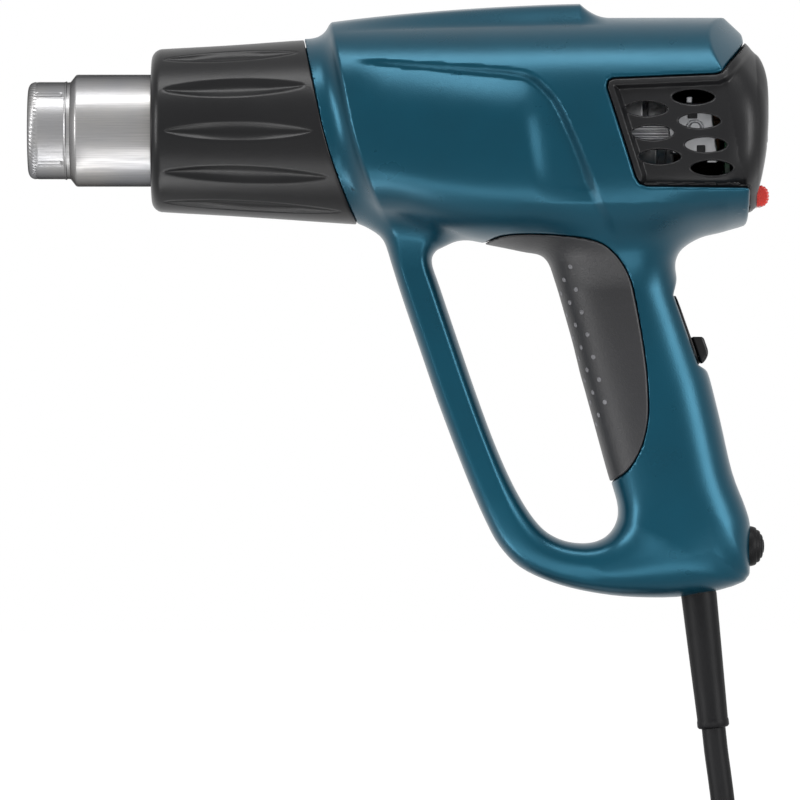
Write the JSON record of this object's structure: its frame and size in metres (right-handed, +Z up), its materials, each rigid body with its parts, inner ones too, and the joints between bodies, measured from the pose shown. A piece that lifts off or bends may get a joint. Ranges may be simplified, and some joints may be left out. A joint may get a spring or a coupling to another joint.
{
  "type": "heat gun",
  "caption": "Hot air gun with a steel nozzle, fluted pull-off heat sleeve, closed hand loop, slide switch, temperature rocker at the domed rear and a mains cord",
  "frame": {"origin": "in the middle of the hand grip, on the mirror plane of the housing", "axes": "-X is the way the hot air leaves the nozzle, +Z is up, and Y is across the mirror plane"},
  "size_m": [0.2591, 0.1564, 0.3288],
  "materials": {
    "housing_teal": "satin moulded plastic with a fine grain",
    "sleeve_black": "matt black moulded plastic",
    "nozzle_steel": "brushed stainless sheet",
    "ceramic": "unglazed ceramic and mica",
    "heating_wire": "dull oxidised resistance wire",
    "sensor_steel": "plain bright steel",
    "duct_plastic": "dark moulded plastic",
    "fan_plastic": "light moulded plastic",
    "motor_steel": "zinc-plated steel",
    "display_glass": "smoked clear window",
    "display_panel": "display panel",
    "board_green": "coated circuit board",
    "rocker_red": "translucent red plastic with ribs",
    "grip_rubber": "matt soft-touch rubber",
    "screw_steel": "zinc-plated screws",
    "lead_plastic": "insulated wire",
    "cord_rubber": "matt black rubber",
    "tie_fabric": "hook-and-loop strap",
    "pin_brass": "plated brass"
  },
  "bodies": {
    "gun": {"left_housing": "housing_teal", "right_housing": "housing_teal", "rear_cover": "sleeve_black", "switch_plate": "sleeve_black", "nozzle_tube": "nozzle_steel", "heater_core": "ceramic", "mica_sleeve": "ceramic", "barrel_flange": "ceramic", "heating_wires": "heating_wire", "temperature_sensor": "sensor_steel", "rocker_pin": "sensor_steel", "air_duct": "duct_plastic", "motor_bracket": "duct_plastic", "switch_body": "duct_plastic", "cord_clamp": "duct_plastic", "motor_can": "motor_steel", "display_lens": "display_glass", "display_module": "display_panel", "control_board": "board_green", "soft_grip": "grip_rubber", "rubber_foot": "grip_rubber", "strain_relief": "grip_rubber", "clamp_screws": "screw_steel", "housing_screws": "screw_steel", "supply_leads": "lead_plastic", "mains_cord": "cord_rubber", "cord_coil": "cord_rubber", "plug_lead": "cord_rubber", "plug_body": "cord_rubber", "cord_tie": "tie_fabric", "plug_pins": "pin_brass"},
    "sleeve": {"heat_sleeve": "sleeve_black"},
    "switch": {"switch_knob": "sleeve_black"},
    "rocker": {"temperature_rocker": "rocker_red"},
    "rotor": {"fan_impeller": "fan_plastic", "motor_shaft": "sensor_steel"}
  },
  "joints": [
    {"name": "sleeve_slide", "type": "slide", "parent": "gun", "child": "sleeve", "axis": [-1, 0, 0], "range_m": [0, 0.07]},
    {"name": "switch_slide", "type": "slide", "parent": "gun", "child": "switch", "axis": [-0.3322, 0, 0.9432], "range_m": [0, 0.013]},
    {"name": "rocker_hinge", "type": "hinge", "parent": "gun", "child": "rocker", "pos_m": [0.0382, 0, 0.065], "axis": [0, 1, 0], "range_deg": [-4, 4], "stiffness_Nm_per_rad": 0.05},
    {"name": "rotor_spin", "type": "hinge", "parent": "gun", "child": "rotor", "pos_m": [-0.041, 0, 0.089], "axis": [1, 0, 0], "continuous": true}
  ]
}
